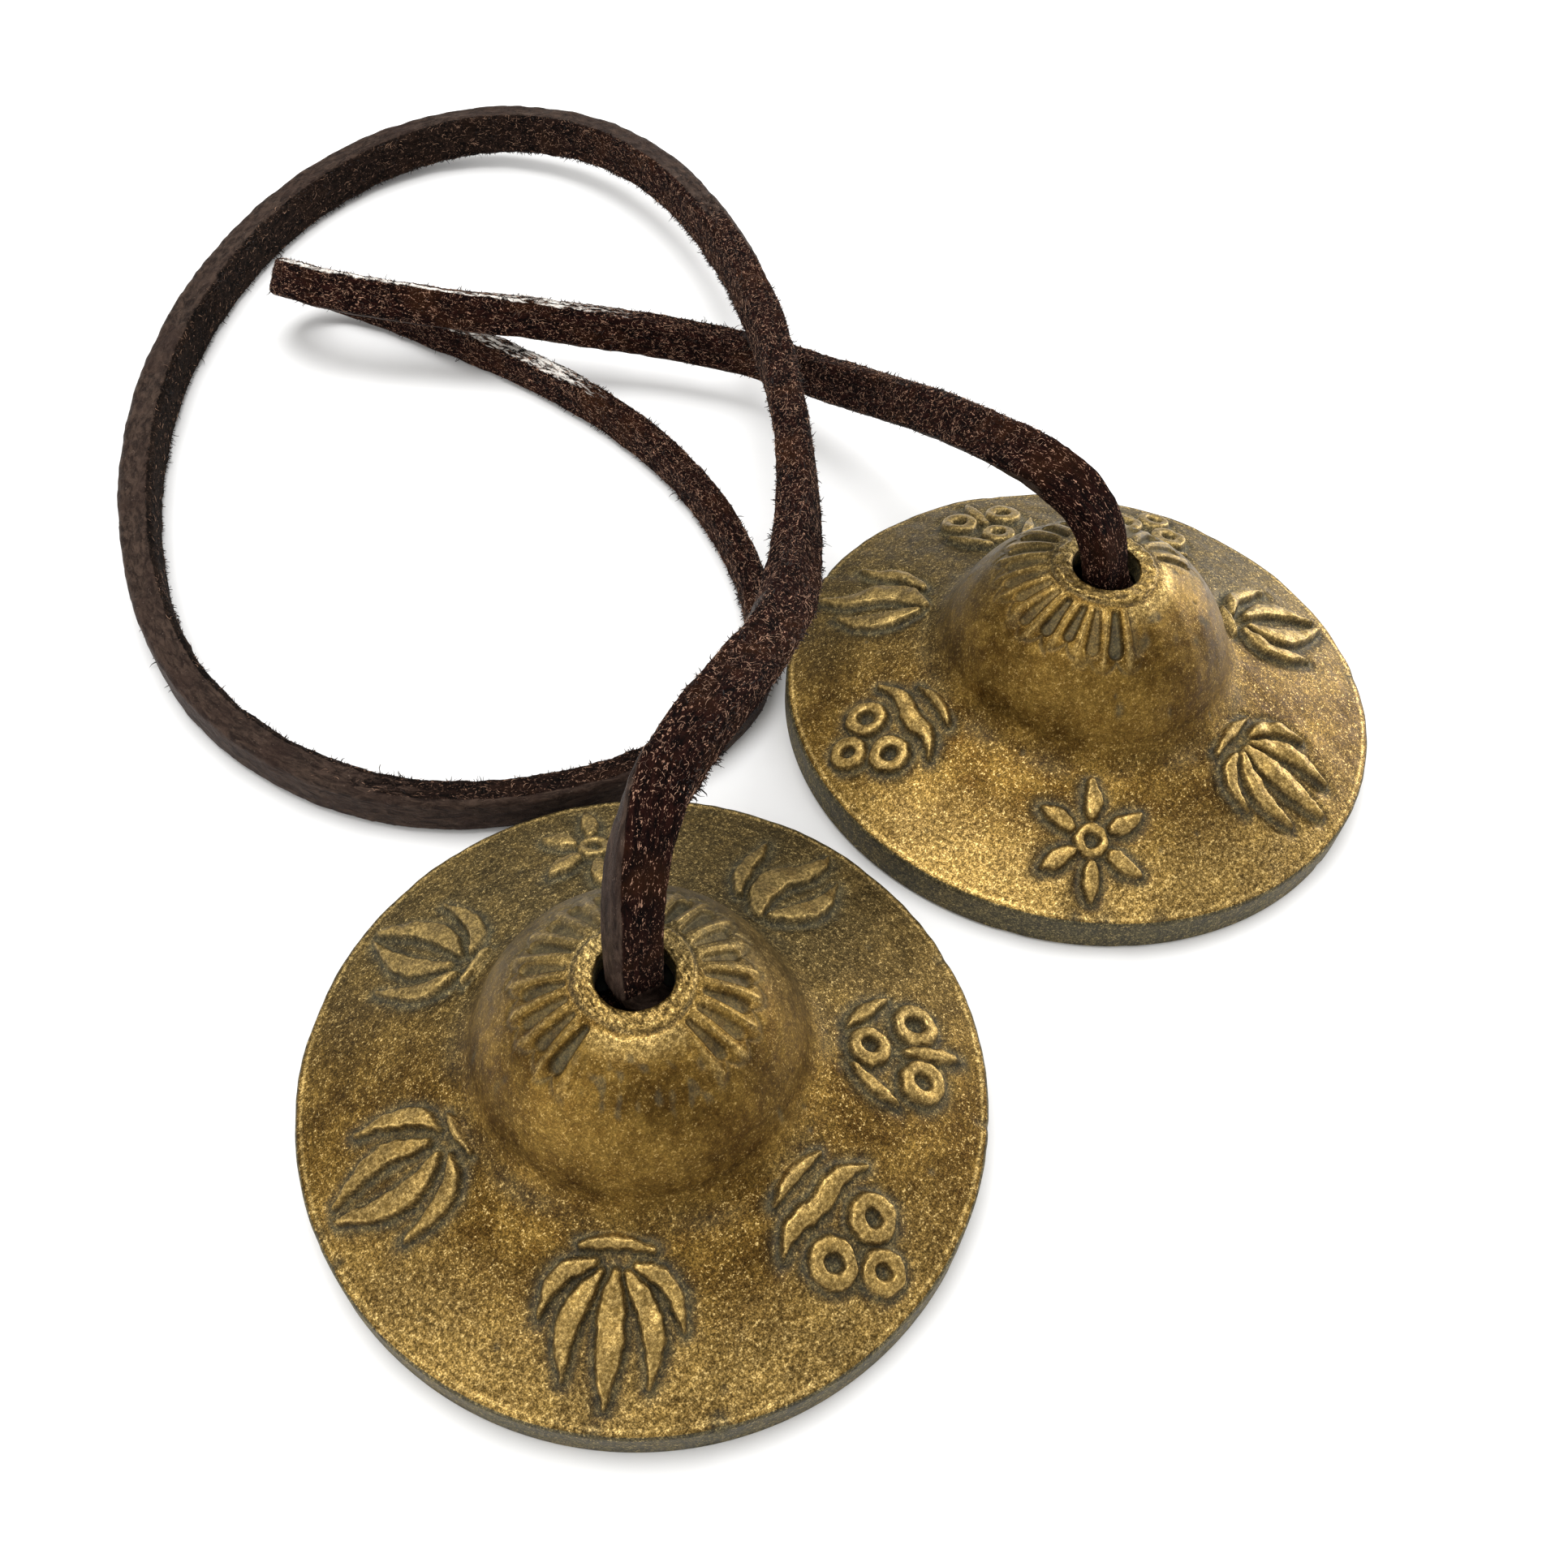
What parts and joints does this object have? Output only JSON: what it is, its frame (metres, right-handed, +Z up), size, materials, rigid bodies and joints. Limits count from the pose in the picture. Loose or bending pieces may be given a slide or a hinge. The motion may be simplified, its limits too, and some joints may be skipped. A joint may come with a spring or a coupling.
{
  "type": "hand cymbals",
  "caption": "Small thick cast bronze hand cymbals with a domed boss, petal ring and raised motifs, joined by a knotted leather thong that lies in a loose loop.",
  "frame": {"origin": "on the table, midway between the two cymbals", "axes": "+X from the front cymbal to the rear cymbal, +Z up through the bosses"},
  "size_m": [0.1426, 0.1833, 0.0379],
  "materials": {
    "bronze": "cast and turned bell bronze, aged, satin with brown and green-grey patina in the hollows",
    "leather": "dark brown cut thong, smooth grain on one side and fibrous suede on the other"
  },
  "bodies": {
    "thong": {"thong": "leather"},
    "end_front": {"neck_front": "leather", "knot_front": "leather"},
    "end_rear": {"neck_rear": "leather", "knot_rear": "leather"},
    "cymbal_front": {"cymbal_front": "bronze"},
    "cymbal_rear": {"cymbal_rear": "bronze"}
  },
  "joints": [
    {"name": "front_swing", "type": "hinge", "parent": "thong", "child": "end_front", "pos_m": [-0.03354, 0.00067, 0.02792], "axis": [0, 1, 0], "range_deg": [-3, 25]},
    {"name": "rear_swing", "type": "hinge", "parent": "thong", "child": "end_rear", "pos_m": [0.03378, 0.00172, 0.02725], "axis": [0, -1, 0], "range_deg": [-3, 25]},
    {"name": "front_spin", "type": "hinge", "parent": "end_front", "child": "cymbal_front", "pos_m": [-0.03425, 0, 0.0223], "axis": [0, 0, 1], "continuous": true},
    {"name": "rear_spin", "type": "hinge", "parent": "end_rear", "child": "cymbal_rear", "pos_m": [0.03425, 0, 0.0223], "axis": [0, 0, 1], "continuous": true}
  ]
}
